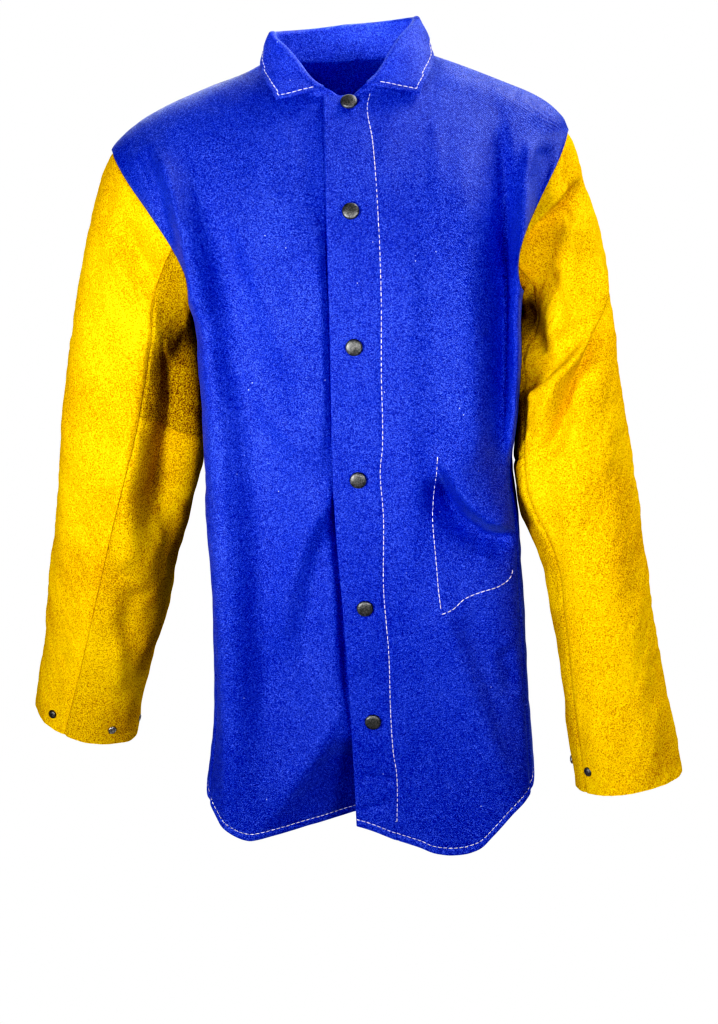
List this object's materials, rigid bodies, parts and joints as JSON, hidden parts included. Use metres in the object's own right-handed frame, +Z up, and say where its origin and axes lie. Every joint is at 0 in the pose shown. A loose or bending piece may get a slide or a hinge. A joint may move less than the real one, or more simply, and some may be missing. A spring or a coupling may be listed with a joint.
{
  "type": "welding jacket",
  "caption": "Hip-length welding jacket with a cotton body and turned collar, split-leather sleeves and a snap front, held in the form it has when worn.",
  "frame": {"origin": "midway between the two points where a shoulder seam meets the collar, where the jacket sits on its wearer", "axes": "+Z up, -Y the way the wearer faces, +X to the wearer's left"},
  "size_m": [0.6637, 0.2941, 0.8146],
  "materials": {
    "cotton": "flame-resistant cotton twill, royal blue",
    "split_leather": "split cowhide, suede side out, golden yellow",
    "dark_snap": "gunmetal",
    "bright_stud": "nickel plated"
  },
  "bodies": {
    "root": {"right_front": "cotton", "left_front": "cotton", "back_panel": "cotton", "collar": "cotton", "right_sleeve_outer": "split_leather", "right_sleeve_under_upper": "split_leather", "right_sleeve_under_lower": "split_leather", "left_sleeve_outer": "split_leather", "left_sleeve_under_upper": "split_leather", "left_sleeve_under_lower": "split_leather", "front_snap_1": "dark_snap", "front_snap_2": "dark_snap", "front_snap_3": "dark_snap", "front_snap_4": "dark_snap", "front_snap_5": "dark_snap", "front_snap_6": "dark_snap", "right_cuff_cap": "dark_snap", "right_cuff_stud_1": "bright_stud", "right_cuff_stud_2": "bright_stud", "left_cuff_cap": "dark_snap", "left_cuff_stud_1": "bright_stud", "left_cuff_stud_2": "bright_stud"}
  },
  "joints": []
}
